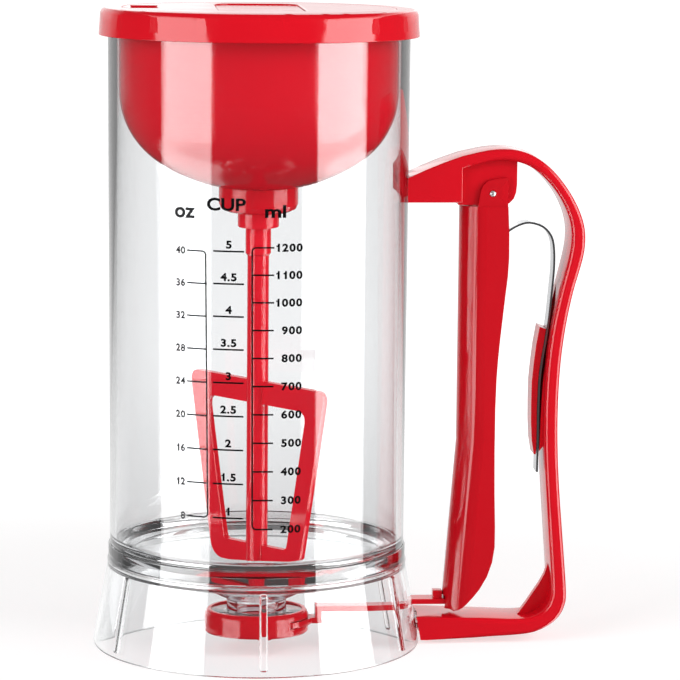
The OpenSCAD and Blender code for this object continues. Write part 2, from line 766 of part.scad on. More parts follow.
module gear_plate() {
  color(dark) translate([0, 0, plate_z]) difference() {
    cylinder(r = post2_at + plate_edge, h = plate_t);
    translate([0, 0, -1]) cylinder(r = shaft_r + bore_gap, h = 5);
    translate([-centre_gap, 0, -1]) cylinder(r = 5 + bore_gap, h = 5);
    for (a = [0, 120, 240])
      rotate([0, 0, a]) translate([post2_at, 0, -1]) cylinder(r = screw_r, h = 5);
  }
}

module plate_screws() {
  color(steel) for (a = [0, 120, 240])
    rotate([0, 0, a]) translate([post2_at, 0, plate_z + plate_t + 0.05]) {
      cylinder(r = 2.4, h = 1.3);
      translate([0, 0, -5]) cylinder(r = screw_r - 0.35, h = 5.01);
    }
}

module motor_leads() {
  color([0.15, 0.15, 0.16]) for (s = [-1, 1]) {
    translate([-centre_gap + 6, s * 4, motor_z + 29.1]) {
      rotate([0, 90, 0]) cylinder(r = 0.55, h = centre_gap - 6);
      sphere(r = 0.55);
    }
    translate([0, s * 4, motor_z + 29.1]) {
      sphere(r = 0.55);
      cylinder(r = 0.55, h = tray_floor - motor_z - 29.1);
    }
  }
}

// ---------------------------------------------------- coupling, paddle
module drive_coupling() {
  color(red) translate([0, 0, couple_z]) difference() {
    cylinder(r = couple_r, h = couple_top - couple_z);
    translate([0, 0, shaft_end - couple_z]) cylinder(r = shaft_r + 0.02, h = 10);
    rotate([0, 0, blade_turn])
      translate([0, 0, -1]) cylinder(r = hex_r + bore_gap, h = 4.1, $fn = 6);
  }
}

module window(s) {
  t = (blade_top - blade_foot) / (blade_top_z - blade_foot_z);
  z0 = blade_foot_z + 7.9;
  z1 = blade_top_z - 8.7;
  bar = 7.7;
  xa = blade_foot + (z0 - blade_foot_z) * t - bar;
  xb = blade_foot + (z1 - blade_foot_z) * t - bar;
  polygon([
    [s * (stem_r - 1), z0], [s * (xa - 1.6), z0], [s * (xa - 0.2), z0 + 0.8],
    [s * (xa + 0.25), z0 + 2.4], [s * (xb - 0.7), z1 - 4], [s * (xb - 0.9), z1 - 1.8],
    [s * (xb - 2.2), z1 - 0.5], [s * (xb - 4), z1], [s * (stem_r - 1), z1]
  ]);
}
module blade_outline() {
  t = (blade_top - blade_foot) / (blade_top_z - blade_foot_z);
  function edge(z) = blade_foot + (z - blade_foot_z) * t;
  half = concat(
    [[0, blade_foot_z], [edge(blade_foot_z) - 8, blade_foot_z]],
    arc([edge(blade_foot_z + 7) - 7.2, blade_foot_z + 7], 7, -84, -10, 6),
    arc([edge(blade_top_z - 3.4) - 3.4, blade_top_z - 3.4], 3.4, -8, 90, 6),
    [[0, blade_top_z]]
  );
  polygon(concat(half, reversed([for (p = half) [-p[0], p[1]]])));
}
module paddle() {
  color(red) rotate([0, 0, blade_turn]) {
    difference() {
      y_slab(blade_t) blade_outline();
      y_slab(blade_t + 2) window(1);
      y_slab(blade_t + 2) window(-1);
    }
    translate([0, 0, blade_foot_z]) cylinder(r = stem_r, h = couple_z - hub_l - blade_foot_z + 1);
    translate([0, 0, couple_z - hub_l]) {
      cylinder(r1 = hub_r - 0.6, r2 = hub_r, h = 0.8);
      translate([0, 0, 0.79]) cylinder(r = hub_r, h = hub_l - 0.89);
      translate([0, 0, 1]) cylinder(r = hex_r, h = hub_l + 1.8, $fn = 6);
    }
  }
}

vessel();
base();
outlet_seal();
valve_cap();
gate_slider();
handle();
handle_screws();
lever();
lever_pin();
leaf_spring();
lid_cap();
motor_housing();
lid_screws();
battery_cover();
power_button();
switch();
battery_tray();
batteries();
contact_springs();
contact_plates();
motor();
motor_shaft();
motor_pinion();
output_gear();
output_shaft();
output_bush();
shaft_seal();
gear_plate();
plate_screws();
motor_leads();
drive_coupling();
paddle();
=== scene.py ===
"""Looks for the batter mixer: clear tube and base, red moulded parts, steel and print.

Outlines are in millimetres, in the part's own frame, and become metres in mesh_of().
"""

import bmesh
import bpy
from math import cos, pi, radians, sin, tan
from mathutils import Matrix, Vector

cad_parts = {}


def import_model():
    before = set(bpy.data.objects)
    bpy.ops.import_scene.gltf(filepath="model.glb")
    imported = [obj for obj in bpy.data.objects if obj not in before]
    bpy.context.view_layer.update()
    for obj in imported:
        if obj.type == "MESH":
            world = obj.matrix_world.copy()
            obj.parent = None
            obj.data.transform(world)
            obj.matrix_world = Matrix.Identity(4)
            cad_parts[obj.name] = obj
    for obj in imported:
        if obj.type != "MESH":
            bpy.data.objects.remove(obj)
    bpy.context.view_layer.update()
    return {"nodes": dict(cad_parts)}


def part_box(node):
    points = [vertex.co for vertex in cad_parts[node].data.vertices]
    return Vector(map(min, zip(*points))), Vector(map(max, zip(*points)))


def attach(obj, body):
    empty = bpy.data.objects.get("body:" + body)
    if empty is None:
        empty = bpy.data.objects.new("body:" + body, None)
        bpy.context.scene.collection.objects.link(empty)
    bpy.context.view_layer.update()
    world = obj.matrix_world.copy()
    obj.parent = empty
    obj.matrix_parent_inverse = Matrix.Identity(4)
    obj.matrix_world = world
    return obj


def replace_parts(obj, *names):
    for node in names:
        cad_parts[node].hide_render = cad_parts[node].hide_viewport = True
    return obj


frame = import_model()
MM = 0.001

# ------------------------------------------------------------ sizes in mm
TUBE_R = 57.5
TUBE_WALL = 2.3
TUBE_DRAFT = 0.6
RIM_Z = round(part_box("vessel")[1].z / MM, 1)
SEAM_Z = round(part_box("base")[1].z / MM, 1)
COLLAR_Z = 31
FLOOR_Z = 40.5
FLOOR_ROUND = 4.5
FLOOR_T = 2.7
THROAT_Z = 20
OUTLET_R = 7.5
FLANGE_Z = round(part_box("vessel")[0].z / MM, 1)
FLARE = 6
SKIRT_WALL = 2.4
RIB_COUNT = 6
RIB_W = 3
RIB_OUT = 1.1
TONGUE_HALF = 6
TOP_TONGUE_Z = (175.9, 180.1)
TOP_TONGUE_OUT = 10.8
FOOT_TONGUE_Z = (5.35, 9.55)
FOOT_TONGUE_OUT = 9
BAR_SLOT = ((50, -4.4, 14), (75, 4.4, 16.6))
NOZZLE_R = OUTLET_R + 4
FLANGE_R = 18.2
FLANGE_T = 1.6
SEAL_GROOVE = (8.7, 12.3)
HANDLE_HALF = round(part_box("handle")[1].y / MM, 1)
TURNS = 240

FOOT_R = TUBE_R - TUBE_DRAFT
IN_TOP = TUBE_R - TUBE_WALL
IN_FOOT = FOOT_R - TUBE_WALL
SPIGOT_R = FOOT_R - 1.5
SPIGOT_IN = SPIGOT_R - 2.3
SPIGOT_Z = COLLAR_Z + 2.2
GUSSET_W = 4.7
GUSSET_R = SPIGOT_IN - GUSSET_W
COLLAR_R = FOOT_R + 0.6
SKIRT_TOP_R = COLLAR_R + 0.4
BASE_R = TUBE_R + FLARE


def tube_out(z):
    """The tube's outer radius, which its draft makes a little smaller downward."""
    return FOOT_R + TUBE_DRAFT * (z - SEAM_Z) / (RIM_Z - SEAM_Z)


def skirt_out(z):
    """The skirt's outer radius."""
    return BASE_R - (BASE_R - SKIRT_TOP_R) * z / COLLAR_Z


def funnel_z(r):
    """The height of the funnel floor's upper face."""
    return THROAT_Z + (FLOOR_Z - THROAT_Z) * (r - OUTLET_R) / (IN_FOOT - OUTLET_R)


# ---------------------------------------------------------- node helpers
def add(tree, kind, inputs=None, **settings):
    """A new node with its settings, and its inputs set or linked."""
    node = tree.nodes.new(kind)
    for name, value in settings.items():
        setattr(node, name, value)
    for name, value in (inputs or {}).items():
        socket = node.inputs[name]
        if isinstance(value, bpy.types.NodeSocket):
            tree.links.new(value, socket)
        else:
            socket.default_value = value
    return node


def maths(tree, operation, *values):
    """The result of a Math node on up to three values or sockets."""
    return add(tree, "ShaderNodeMath", dict(enumerate(values)), operation=operation).outputs[0]


def chosen(tree, factor, usual, other):
    """The usual value where the factor is 0, the other where it is 1."""
    values = {"Factor": factor, "A": usual, "B": other}
    return add(tree, "ShaderNodeMix", values, data_type="FLOAT").outputs[0]


def group(name, kind, inputs, outputs):
    """A node group with typed, named sockets, and its two end nodes."""
    tree = bpy.data.node_groups.new(name, kind)
    for label, (form, value) in inputs.items():
        socket = tree.interface.new_socket(label, in_out="INPUT", socket_type="NodeSocket" + form)
        if value is not None:
            socket.default_value = value
    for label, form in outputs.items():
        tree.interface.new_socket(label, in_out="OUTPUT", socket_type="NodeSocket" + form)
    start = tree.nodes.new("NodeGroupInput").outputs
    end = tree.nodes.new("NodeGroupOutput").inputs
    return tree, start, end


def noise(tree, place, scale, detail=3.0, rough=0.5):
    """A noise value at the place; for a place in metres the scale counts waves per metre."""
    inputs = {"Vector": place, "Scale": scale, "Detail": detail, "Roughness": rough}
    return add(tree, "ShaderNodeTexNoise", inputs).outputs["Fac"]


def spread(tree, fac, low, high):
    """A noise value, mostly between 0.3 and 0.7, spread from low to high."""
    inputs = {"Value": fac, "From Min": 0.3, "From Max": 0.7, "To Min": low, "To Max": high}
    return add(tree, "ShaderNodeMapRange", inputs).outputs["Result"]


def moulded_group():
    """Moulded plastic: flow tint, soft sheen patches and a faint orange peel."""
    tree, start, end = group(
        "moulded_skin",
        "ShaderNodeTree",
        {
            "Colour": ("Color", (0.8, 0.1, 0.1, 1)),
            "Tint": ("Float", 0.06),
            "Sheen low": ("Float", 0.08),
            "Sheen high": ("Float", 0.14),
            "Peel size": ("Float", 420.0),
        },
        {"Colour": "Color", "Roughness": "Float", "Height": "Float"},
    )
    place = add(tree, "ShaderNodeTexCoord").outputs["Object"]
    flow = noise(tree, place, 17.0, 4.0)
    keep = maths(tree, "SUBTRACT", 1.0, maths(tree, "MULTIPLY", flow, start["Tint"]))
    shaded = add(
        tree, "ShaderNodeVectorMath", {0: start["Colour"], "Scale": keep}, operation="SCALE"
    ).outputs[0]
    tree.links.new(shaded, end["Colour"])
    patches = noise(tree, place, 55.0, 5.0, 0.6)
    tree.links.new(spread(tree, patches, start["Sheen low"], start["Sheen high"]), end["Roughness"])
    tree.links.new(noise(tree, place, start["Peel size"], 2.0), end["Height"])
    return tree


def metal_group():
    """Drawn metal: fine lines along one way, and a slight change of tone."""
    tree, start, end = group(
        "drawn_metal",
        "ShaderNodeTree",
        {
            "Colour": ("Color", (0.7, 0.7, 0.7, 1)),
            "Stretch": ("Vector", (900.0, 900.0, 60.0)),
            "Polish": ("Float", 0.18),
            "Rough": ("Float", 0.34),
        },
        {"Colour": "Color", "Roughness": "Float", "Height": "Float"},
    )
    place = add(tree, "ShaderNodeTexCoord").outputs["Object"]
    drawn = add(
        tree, "ShaderNodeVectorMath", {0: place, 1: start["Stretch"]}, operation="MULTIPLY"
    ).outputs[0]
    lines = noise(tree, drawn, 1.0, 4.0, 0.65)
    tone = spread(tree, lines, 0.86, 1.0)
    shaded = add(
        tree, "ShaderNodeVectorMath", {0: start["Colour"], "Scale": tone}, operation="SCALE"
    ).outputs[0]
    tree.links.new(shaded, end["Colour"])
    tree.links.new(spread(tree, lines, start["Rough"], start["Polish"]), end["Roughness"])
    tree.links.new(lines, end["Height"])
    return tree


MOULDED = moulded_group()
METAL = metal_group()


def finish_of(name, skin, values, bump, **sockets):
    """A material: one Principled shader fed by a shared group's colour, roughness and height."""
    material = bpy.data.materials.new(name)
    material.use_nodes = True
    tree = material.node_tree
    shader = tree.nodes["Principled BSDF"]
    for socket, value in sockets.items():
        shader.inputs[socket.replace("_", " ")].default_value = value
    surface = add(tree, "ShaderNodeGroup", node_tree=skin)
    for socket, value in values.items():
        surface.inputs[socket].default_value = value
    tree.links.new(surface.outputs["Colour"], shader.inputs["Base Color"])
    tree.links.new(surface.outputs["Roughness"], shader.inputs["Roughness"])
    inputs = {"Height": surface.outputs["Height"], "Strength": bump[0], "Distance": bump[1] * MM}
    tree.links.new(add(tree, "ShaderNodeBump", inputs).outputs["Normal"], shader.inputs["Normal"])
    return material


def plastic(name, colour, low, high, tint=0.06, peel=420.0, bump=(0.25, 0.01), **sockets):
    """Moulded plastic: its roughness lies between low and high."""
    values = {
        "Colour": (*colour, 1),
        "Tint": tint,
        "Sheen low": low,
        "Sheen high": high,
        "Peel size": peel,
    }
    return finish_of(name, MOULDED, values, bump, **sockets)


def metal(name, colour, polish, rough, stretch=(900.0, 900.0, 60.0), bump=(0.3, 0.01)):
    """Drawn metal: the line pattern is longest where the stretch is smallest."""
    values = {"Colour": (*colour, 1), "Stretch": stretch, "Polish": polish, "Rough": rough}
    return finish_of(name, METAL, values, bump, Metallic=1.0)


def clear_plastic(name, low, high, clearness):
    """Clear moulding: true refraction, a faint grey in depth, and lamps let through."""
    colour = (clearness, clearness + 0.005, clearness + 0.01)
    material = plastic(
        name, colour, low, high, tint=0.0, peel=120.0, bump=(0.12, 0.02),
        IOR=1.49, Transmission_Weight=1.0,
    )
    tree = material.node_tree
    shader = tree.nodes["Principled BSDF"]
    out = tree.nodes["Material Output"]
    path = add(tree, "ShaderNodeLightPath").outputs
    lamp_ray = maths(tree, "MAXIMUM", path["Is Shadow Ray"], path["Is Diffuse Ray"])
    # light caught in a wall leaves it before the bounce limits turn it black
    caught = maths(tree, "GREATER_THAN", path["Glossy Depth"], 2.5)
    leaves = maths(tree, "MAXIMUM", lamp_ray, caught)
    through = add(tree, "ShaderNodeBsdfTransparent", {"Color": (0.96, 0.96, 0.965, 1)})
    mix = add(
        tree, "ShaderNodeMixShader", {0: leaves, 1: shader.outputs[0], 2: through.outputs[0]}
    )
    tree.links.new(mix.outputs[0], out.inputs["Surface"])
    depth = add(
        tree, "ShaderNodeVolumeAbsorption", {"Color": (0.80, 0.805, 0.82, 1), "Density": 5.0}
    )
    tree.links.new(depth.outputs[0], out.inputs["Volume"])
    return material


RED = (0.63, 0.0045, 0.0135)
clear_tube = clear_plastic("clear_tube_wall", 0.0, 0.008, clearness=0.895)
clear_base = clear_plastic("clear_base_wall", 0.0, 0.008, clearness=0.94)
red_gloss = plastic("red_gloss_plastic", RED, 0.07, 0.12)
# a brighter copy of the red plastic for the motor housing seen through the clear tube: painted
# light
red_housing = plastic("red_housing_painted_light", (0.75, 0.006, 0.019), 0.08, 0.13)
# the lever's red is a darker copy of the same red plastic: painted shade
shaded_red_plastic = plastic("red_plastic_painted_shade", (0.53, 0.0045, 0.0115), 0.07, 0.12)
# a brighter copy of the red plastic for the paddle and collar inside the clear tube: painted light
lit_red_plastic = plastic("red_plastic_painted_light", (0.86, 0.009, 0.026), 0.07, 0.12)
red_button = plastic("red_button_plastic", RED, 0.10, 0.16)
silicone = plastic("soft_silicone", (0.72, 0.74, 0.77), 0.38, 0.5, bump=(0.4, 0.02))
black_plastic = plastic(
    "black_plastic", (0.018, 0.018, 0.02), 0.32, 0.45, peel=1400.0, bump=(0.5, 0.02)
)
black_rubber = plastic(
    "black_rubber", (0.02, 0.02, 0.021), 0.5, 0.62, peel=1800.0, bump=(0.5, 0.02)
)
white_gear = plastic("white_nylon", (0.82, 0.82, 0.79), 0.3, 0.4, bump=(0.3, 0.02))
spring_steel = metal("spring_steel_strip", (0.66, 0.67, 0.69), 0.16, 0.3)
screw_steel = metal("zinc_screw", (0.6, 0.61, 0.63), 0.22, 0.4)
pin_steel = metal("turned_pin", (0.82, 0.82, 0.83), 0.42, 0.55)
motor_can = metal("motor_can_steel", (0.58, 0.59, 0.6), 0.2, 0.36)
brass = metal("turned_brass", (0.72, 0.5, 0.2), 0.2, 0.34)
cell_sleeve = plastic("cell_sleeve", (0.06, 0.08, 0.12), 0.24, 0.34)
cell_band = plastic("cell_band", (0.62, 0.3, 0.1), 0.16, 0.24, tint=0.12, Metallic=0.7)
ink_black = plastic("print_black", (0.004, 0.004, 0.0045), 0.4, 0.5, Specular_IOR_Level=0.02)
ink_grey = plastic("print_grey", (0.03, 0.03, 0.032), 0.4, 0.5, Specular_IOR_Level=0.02)

CAD_FINISH = {
    "clear_tube": clear_tube,
    "clear_base": clear_base,
    "silicone": silicone,
    "red_gloss": red_gloss,
    "red_housing": red_housing,
    "red_button": red_button,
    "screw_steel": screw_steel,
    "pin_steel": pin_steel,
    "spring_steel": spring_steel,
    "motor_can": motor_can,
    "brass": brass,
    "white_gear": white_gear,
    "black_plastic": black_plastic,
    "black_rubber": black_rubber,
    "cell_sleeve": cell_sleeve,
}


# ---------------------------------------------------------- mesh helpers
def rounded(points, steps=5):
    """An outline whose points may carry a third value, the radius that rounds the corner."""
    outline = []
    for i, point in enumerate(points):
        here = Vector(point[:2])
        if len(point) < 3:
            outline.append(here)
            continue
        back = (Vector(points[i - 1][:2]) - here).normalized()
        ahead = (Vector(points[(i + 1) % len(points)][:2]) - here).normalized()
        half = back.angle(ahead) / 2
        centre = here + (back + ahead).normalized() * point[2] / sin(half)
        first = (here + back * point[2] / tan(half) - centre).normalized()
        last = (here + ahead * point[2] / tan(half) - centre).normalized()
        outline += [centre + first.slerp(last, k / steps) * point[2] for k in range(steps + 1)]
    return outline


def lathe(outline, turns=TURNS):
    """A closed outline of (radius, height) turned round the Z axis."""
    bm = bmesh.new()
    angles = [2 * pi * k / turns for k in range(turns)]
    rings = []
    for r, z in outline:
        spots = angles if r > 1e-6 else angles[:1]
        rings.append([bm.verts.new((r * cos(a), r * sin(a), z)) for a in spots])
    for i, upper in enumerate(rings):
        lower = rings[i - 1]
        for k in range(turns if len(upper) + len(lower) > 2 else 0):
            corners = [ring[j % len(ring)] for ring, j in
                       ((upper, k), (upper, k + 1), (lower, k + 1), (lower, k))]
            bm.faces.new(dict.fromkeys(corners))
    bmesh.ops.recalc_face_normals(bm, faces=bm.faces)
    return bm


def block(low, high, soft=0.0, steps=3):
    """A box between two corners, its edges rounded."""
    bm = bmesh.new()
    low, high = Vector(low), Vector(high)
    size = Matrix.Diagonal((*(high - low), 1))
    bmesh.ops.create_cube(bm, size=1.0, matrix=Matrix.Translation((low + high) / 2) @ size)
    if soft:
        bmesh.ops.bevel(bm, geom=bm.edges[:], offset=soft, segments=steps, profile=0.5,
                        affect="EDGES")
    return bm


def mesh_of(bm, name, material, scale=MM):
    """The bmesh as an object in metres at the origin, smooth but for its sharp edges."""
    bmesh.ops.scale(bm, vec=(scale,) * 3, verts=bm.verts)
    mesh = bpy.data.meshes.new(name)
    bm.to_mesh(mesh)
    bm.free()
    mesh.materials.append(material)
    thing = bpy.data.objects.new(name, mesh)
    bpy.context.scene.collection.objects.link(thing)
    return thing


def shade(thing, angle=35, flat=lambda face: len(face.vertices) > 4):
    """Smooth but for sharp edges and the flat faces, which keep one shade."""
    thing.data.shade_smooth()
    thing.data.set_sharp_from_angle(angle=radians(angle))
    for face in thing.data.polygons:
        face.use_smooth = not flat(face)
    return thing


def baked(thing):
    """Turns the object's live modifiers into its plain mesh."""
    seen = thing.evaluated_get(bpy.context.evaluated_depsgraph_get())
    mesh = bpy.data.meshes.new_from_object(seen)
    thing.modifiers.clear()
    thing.data = mesh
    return thing


def carve(thing, tool, operation):
    """Joins another mesh to the object, or cuts it away, and drops the tool."""
    step = thing.modifiers.new("carve", "BOOLEAN")
    step.operation = operation
    step.solver = "EXACT"
    step.object = tool
    baked(thing)
    bpy.data.objects.remove(tool)
    return thing


def cad_copy(node):
    """The CAD node's own shape as a merged bmesh in mm, its flat faces whole again."""
    bm = bmesh.new()
    bm.from_mesh(frame["nodes"][node].data)
    bmesh.ops.scale(bm, vec=(1 / MM,) * 3, verts=bm.verts)
    bmesh.ops.remove_doubles(bm, verts=bm.verts, dist=0.002)
    bmesh.ops.dissolve_limit(bm, angle_limit=radians(0.4), verts=bm.verts, edges=bm.edges)
    return bm


def sharp_edges(bm, angle, wanted=lambda edge: True):
    """The wanted edges where two faces meet at more than the angle, in degrees."""
    limit = radians(angle)
    return [e for e in bm.edges
            if len(e.link_faces) == 2 and e.calc_face_angle() > limit and wanted(e)]


def soften(bm, edges, width, steps=3, clamp=True):
    """Rounds the edges over the width, in mm."""
    bmesh.ops.bevel(bm, geom=edges, offset=width, segments=steps, profile=0.5,
                    affect="EDGES", clamp_overlap=clamp, loop_slide=True)
    return bm


def settle(thing, body, slot, *nodes):
    """Says what the finished piece rides on and the CAD nodes it stands for; the slot, its finish,
    is not used.
    """
    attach(thing, body)
    if nodes:
        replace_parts(thing, *nodes)
    return thing


# ------------------------------------------------------------ clear parts
def tongue(wall_r, reach_r, heights, material):
    """A clear tongue at the +X side that the handle is screwed to."""
    low, high = heights
    bm = block((wall_r, -TONGUE_HALF, low), (reach_r, TONGUE_HALF, high), 0.4)
    return mesh_of(bm, "tongue", material)


def vessel():
    """The tube with its funnel floor, outlet flange, seal groove, spigot and top tongue."""
    groove_in, groove_out = SEAL_GROOVE
    outline = rounded([
        (OUTLET_R, FLANGE_Z, 0.3), (OUTLET_R, THROAT_Z, 2.5), (IN_FOOT, FLOOR_Z, FLOOR_ROUND),
        (IN_TOP, RIM_Z, 0.8), (TUBE_R, RIM_Z, 0.8),
        (FOOT_R, SEAM_Z + 0.1, 0.3), (SPIGOT_R, SEAM_Z + 0.1, 0.2), (SPIGOT_R, SPIGOT_Z, 0.3),
        (SPIGOT_IN, SPIGOT_Z, 0.3), (GUSSET_R, funnel_z(GUSSET_R) - FLOOR_T, 0.8),
        (NOZZLE_R, funnel_z(NOZZLE_R) - FLOOR_T, 1.2), (NOZZLE_R, FLANGE_Z + FLANGE_T, 0.5),
        (FLANGE_R, FLANGE_Z + FLANGE_T, 0.3), (FLANGE_R, FLANGE_Z, 0.3),
        (groove_out, FLANGE_Z), (groove_out, FLANGE_Z + 1),
        (groove_in, FLANGE_Z + 1), (groove_in, FLANGE_Z),
    ])
    thing = mesh_of(lathe(outline), "measuring_tube", clear_tube)
    root = tube_out(sum(TOP_TONGUE_Z) / 2) - 1.5
    ear = tongue(root, TUBE_R + TOP_TONGUE_OUT, TOP_TONGUE_Z, clear_tube)
    carve(thing, ear, "UNION")
    settle(shade(thing), "pitcher", "clear_tube", "vessel")


def rib_blank():
    """One rib, leaning with the skirt, at the +X side."""
    foot = 2.5
    lean = Vector((SKIRT_TOP_R - BASE_R, 0, COLLAR_Z)).normalized()
    length = (COLLAR_Z - foot) / lean.z
    bm = block((-1.2, -RIB_W / 2, 0), (RIB_OUT, RIB_W / 2, length), 1.0, 6)
    tilt = Vector((0, 0, 1)).rotation_difference(lean).to_matrix().to_4x4()
    place = Matrix.Translation((skirt_out(foot), 0, foot)) @ tilt
    bmesh.ops.transform(bm, matrix=place, verts=bm.verts)
    return mesh_of(bm, "rib_blank", clear_base)


def round_the_axis():
    """Geometry Nodes: copies of one object, evenly round the Z axis."""
    tree, start, end = group(
        "round_the_axis",
        "GeometryNodeTree",
        {
            "Geometry": ("Geometry", None),
            "Count": ("Int", 6),
            "First": ("Float", 0.0),
            "Material": ("Material", None),
        },
        {"Geometry": "Geometry"},
    )
    points = add(tree, "GeometryNodePoints", {"Count": start["Count"]}).outputs[0]
    index = add(tree, "GeometryNodeInputIndex").outputs[0]
    step = maths(tree, "DIVIDE", 2 * pi, start["Count"])
    turn = maths(tree, "MULTIPLY_ADD", index, step, start["First"])
    spin = add(tree, "ShaderNodeCombineXYZ", {"Z": turn})
    copies = add(
        tree, "GeometryNodeInstanceOnPoints",
        {"Points": points, "Instance": start["Geometry"], "Rotation": spin.outputs[0]},
    )
    real = add(tree, "GeometryNodeRealizeInstances", {"Geometry": copies.outputs[0]})
    dressed = add(
        tree, "GeometryNodeSetMaterial",
        {"Geometry": real.outputs[0], "Material": start["Material"]},
    )
    tree.links.new(dressed.outputs[0], end["Geometry"])
    return tree


def apply_tree(thing, tree, values):
    """Runs a Geometry Nodes tree on the object, its inputs set by their identifiers."""
    step = thing.modifiers.new(tree.name, "NODES")
    step.node_group = tree
    for socket in tree.interface.items_tree:
        if socket.in_out == "INPUT" and socket.name in values:
            step[socket.identifier] = values[socket.name]
    return baked(thing)


ROUND = round_the_axis()


def base():
    """The collar and skirt with its ribs, foot tongue and the slot for the gate's bar."""
    outline = rounded([
        (SPIGOT_IN, COLLAR_Z, 0.4), (SPIGOT_IN, SPIGOT_Z - 0.05, 0.2),
        (SPIGOT_R + 0.1, SPIGOT_Z - 0.05, 0.3), (SPIGOT_R + 0.1, SEAM_Z, 0.2),
        (COLLAR_R, SEAM_Z, 0.5), (COLLAR_R, SPIGOT_Z, 0.25), (SKIRT_TOP_R, SPIGOT_Z, 0.15),
        (SKIRT_TOP_R, COLLAR_Z, 0.5), (BASE_R, 0, 0.9), (BASE_R - SKIRT_WALL, 0, 0.6),
        (SKIRT_TOP_R - SKIRT_WALL, COLLAR_Z, 1.0),
    ])
    thing = mesh_of(lathe(outline), "flared_base", clear_base)
    around = {"Count": RIB_COUNT, "First": -pi / 2, "Material": clear_base}
    carve(thing, apply_tree(rib_blank(), ROUND, around), "UNION")
    root = skirt_out(7) - 1.2
    ear = tongue(root, BASE_R + FOOT_TONGUE_OUT, FOOT_TONGUE_Z, clear_base)
    carve(thing, ear, "UNION")
    carve(thing, mesh_of(block(*BAR_SLOT, 0.5), "bar_slot", clear_base), "DIFFERENCE")
    settle(shade(thing), "pitcher", "clear_base", "base")


# -------------------------------------------------------------- red parts
MID_GRIP_Z = 100
SEAT_EDGE = 0.05


def side_rounding(x, z):
    """The radius of the grip's edges: small on the bracket, full on the strap."""
    if z > MID_GRIP_Z:
        return SEAT_EDGE + 0.55 * ramp(x, 58, 62) + 1.25 * ramp(x, 77, 92)
    return SEAT_EDGE + 1.8 * ramp(x, 68, 76)


def ramp(value, low, high):
    """A smooth step from 0 at low to 1 at high."""
    t = min(max((value - low) / (high - low), 0), 1)
    return t * t * (3 - 2 * t)


def round_sides(bm, half, radius_at, steps=6):
    """Rounds the edges of the flat sides at Y = -half and +half by a radius that may vary."""
    for way in (-1, 1):
        side = [f for f in bm.faces if all(abs(v.co.y * way - half) < 0.01 for v in f.verts)]
        side = bmesh.ops.dissolve_faces(bm, faces=side)["region"] if len(side) > 1 else side
        for face in side:
            ring = [loop.vert for loop in face.loops]
            spots = [v.co.copy() for v in ring]
            insets = []
            for i, here in enumerate(spots):
                back = (here - spots[i - 1]).normalized()
                ahead = (spots[(i + 1) % len(spots)] - here).normalized()
                normals = [face.normal.cross(edge) for edge in (back, ahead)]
                insets.append(sum(normals, Vector()) / max(1 + normals[0].dot(normals[1]), 0.3))
            bm.faces.remove(face)
            sizes = [radius_at(p.x, p.z) for p in spots]
            for v, r in zip(ring, sizes):
                v.co.y -= way * r
            for k in range(1, steps + 1):
                a = pi / 2 * k / steps
                inward, outward = 1 - cos(a), way * (1 - sin(a))
                inner = [
                    bm.verts.new(p + inset * r * inward - Vector((0, r * outward, 0)))
                    for p, inset, r in zip(spots, insets, sizes)
                ]
                for i in range(len(ring)):
                    j = (i + 1) % len(ring)
                    bm.faces.new((ring[i], ring[j], inner[j], inner[i]))
                ring = inner
            flat = bm.faces.new(ring)
            flat.normal_update()
            bmesh.ops.triangulate(bm, faces=[flat], ngon_method="EAR_CLIP")
    return bm


def handle():
    """The CAD grip with the edges of its flat sides rounded."""
    bm = round_sides(cad_copy("handle"), HANDLE_HALF, side_rounding)
    thing = shade(mesh_of(bm, "grip", red_gloss), 25, lambda face: abs(face.normal.y) > 0.9999)
    settle(thing, "pitcher", "red_gloss", "handle")


def softened(node, name, material, body, slot, width, angle=35, steps=3):
    """The CAD shape with its sharp edges rounded."""
    bm = cad_copy(node)
    soften(bm, sharp_edges(bm, angle), width, steps)
    settle(shade(mesh_of(bm, name, material)), body, slot, node)


def lever():
    """The lever, its foot rounded more than its other edges."""
    bm = cad_copy("lever")
    soften(bm, sharp_edges(bm, 35, lambda e: max(v.co.z for v in e.verts) < 13.5), 1.4, 5)
    soften(bm, sharp_edges(bm, 35), 0.6)
    # the lever takes the darker copy of the red plastic, painted shade
    settle(shade(mesh_of(bm, "squeeze_lever", shaded_red_plastic)), "lever", "red_gloss", "lever")


# ------------------------------------------------------------- the cells
CELL_X = (-28.9, -13.9, 13.9, 28.9)
CELL_HALF = 24.6
CELL_R = 7.1
WIRE_R = 0.34


def in_each_bay(name, material, slot, *shapes):
    """One lathe outline, or several, set in every bay of the tray, each cell turned about."""
    low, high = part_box("batteries")
    middle = (low.z + high.z) / 2 / MM
    whole = bmesh.new()
    for i, x in enumerate(CELL_X):
        turn = Matrix.Rotation(pi / 2 * (-1) ** i, 4, "X")
        place = Matrix.Translation((x, 0, middle)) @ turn
        for shape in shapes:
            part = shape()
            bmesh.ops.transform(part, matrix=place, verts=part.verts)
            mesh = bpy.data.meshes.new("part")
            part.to_mesh(mesh)
            part.free()
            whole.from_mesh(mesh)
            bpy.data.meshes.remove(mesh)
    return settle(shade(mesh_of(whole, name, material)), "lid", slot)


def turned(*outline):
    """A shape for in_each_bay: the outline turned round the cell's own axis."""
    return lambda: lathe(outline, 48)


